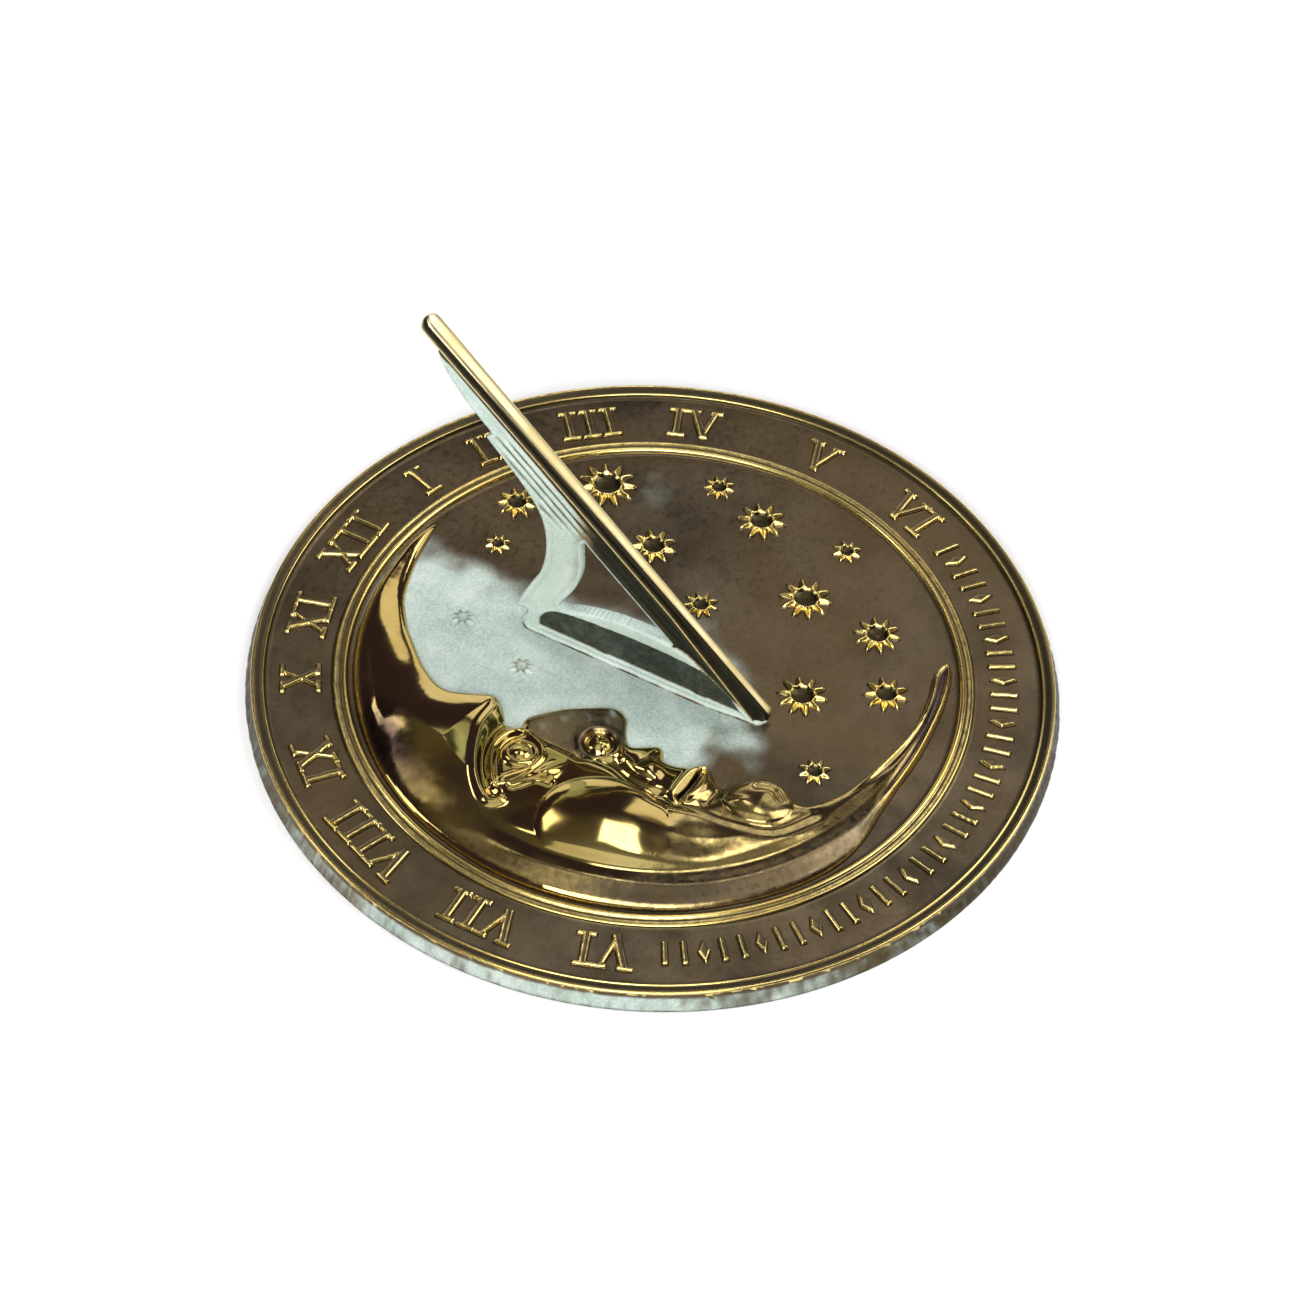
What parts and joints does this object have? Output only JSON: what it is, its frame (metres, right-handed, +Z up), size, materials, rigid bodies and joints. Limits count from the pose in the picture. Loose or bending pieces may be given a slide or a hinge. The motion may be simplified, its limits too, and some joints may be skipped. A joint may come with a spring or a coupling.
{
  "type": "garden sundial",
  "caption": "Round horizontal garden sundial in cast brass, with raised Roman hours, a crescent moon face, stars and a bolted-on shadow-casting gnomon.",
  "frame": {"origin": "centre of the circle the plate rests on, on the resting plane", "axes": "+Z up, +Y towards the XII (north when set up), +X towards the afternoon hours' side (east)"},
  "size_m": [0.264, 0.264, 0.124],
  "materials": {
    "brass_plate": "cast, antiqued brown with polished high spots and pale green verdigris",
    "brass_gnomon": "cast, polished edges with dull green-grey panels",
    "screw_steel": "zinc plated, slightly dull"
  },
  "bodies": {
    "root": {"dial_plate": "brass_plate", "gnomon": "brass_gnomon", "gnomon_screws": "screw_steel", "spring_washers": "screw_steel", "flat_washers": "screw_steel"}
  },
  "joints": []
}
